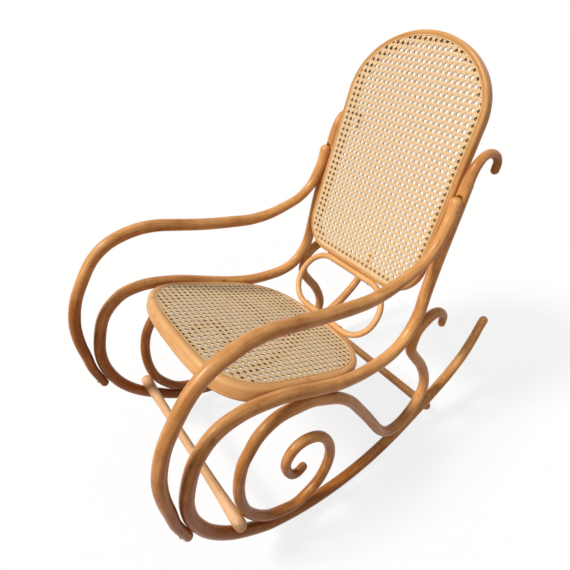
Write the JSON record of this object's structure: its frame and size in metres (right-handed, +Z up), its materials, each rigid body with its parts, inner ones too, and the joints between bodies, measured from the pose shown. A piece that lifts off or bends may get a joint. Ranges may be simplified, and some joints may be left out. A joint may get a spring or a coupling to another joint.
{
  "type": "rocking chair",
  "caption": "Bentwood rocking chair with long curled side frames on rockers, a tall arched cane back, a rounded cane seat, a small loop behind the seat and turned stretchers.",
  "frame": {"origin": "centre of the bounding box's base, on the floor, with the chair at rest on the flats of its rockers", "axes": "+Z up, -Y towards the front of the chair, +X towards the sitter's left"},
  "size_m": [0.5726, 1.044, 1.0571],
  "materials": {
    "rod_wood": "golden brown beech, steam-bent, semi-gloss varnish, mottled",
    "frame_wood": "honey-coloured beech, semi-gloss varnish",
    "pale_wood": "paler pinkish beech, turned, semi-gloss varnish",
    "cane": "natural woven cane, satin",
    "spline": "round reed spline, satin",
    "screw_steel": "dulled dark steel"
  },
  "bodies": {
    "root": {"left_runner": "rod_wood", "right_runner": "rod_wood", "left_arm": "rod_wood", "right_arm": "rod_wood", "left_scroll": "rod_wood", "right_scroll": "rod_wood", "back_frame": "frame_wood", "back_spline": "spline", "back_cane": "cane", "seat_frame": "frame_wood", "seat_spline": "spline", "seat_cane": "cane", "lumbar_loop": "frame_wood", "front_stretcher": "pale_wood", "rear_stretcher": "rod_wood", "left_arm_foot_screw": "screw_steel", "right_arm_foot_screw": "screw_steel", "left_arm_top_screw": "screw_steel", "right_arm_top_screw": "screw_steel", "left_scroll_bend_screw": "screw_steel", "right_scroll_bend_screw": "screw_steel", "left_scroll_rear_screw": "screw_steel", "right_scroll_rear_screw": "screw_steel", "left_scroll_rail_screw": "screw_steel", "right_scroll_rail_screw": "screw_steel", "left_scroll_front_screw": "screw_steel", "right_scroll_front_screw": "screw_steel", "left_back_lower_screw": "screw_steel", "right_back_lower_screw": "screw_steel", "left_back_upper_screw": "screw_steel", "right_back_upper_screw": "screw_steel", "left_seat_front_screw": "screw_steel", "right_seat_front_screw": "screw_steel", "left_seat_rear_screw": "screw_steel", "right_seat_rear_screw": "screw_steel", "left_front_stretcher_screw": "screw_steel", "right_front_stretcher_screw": "screw_steel", "left_rear_stretcher_screw": "screw_steel", "right_rear_stretcher_screw": "screw_steel", "left_loop_upper_screw": "screw_steel", "right_loop_upper_screw": "screw_steel", "left_loop_lower_screw": "screw_steel", "right_loop_lower_screw": "screw_steel"}
  },
  "joints": []
}
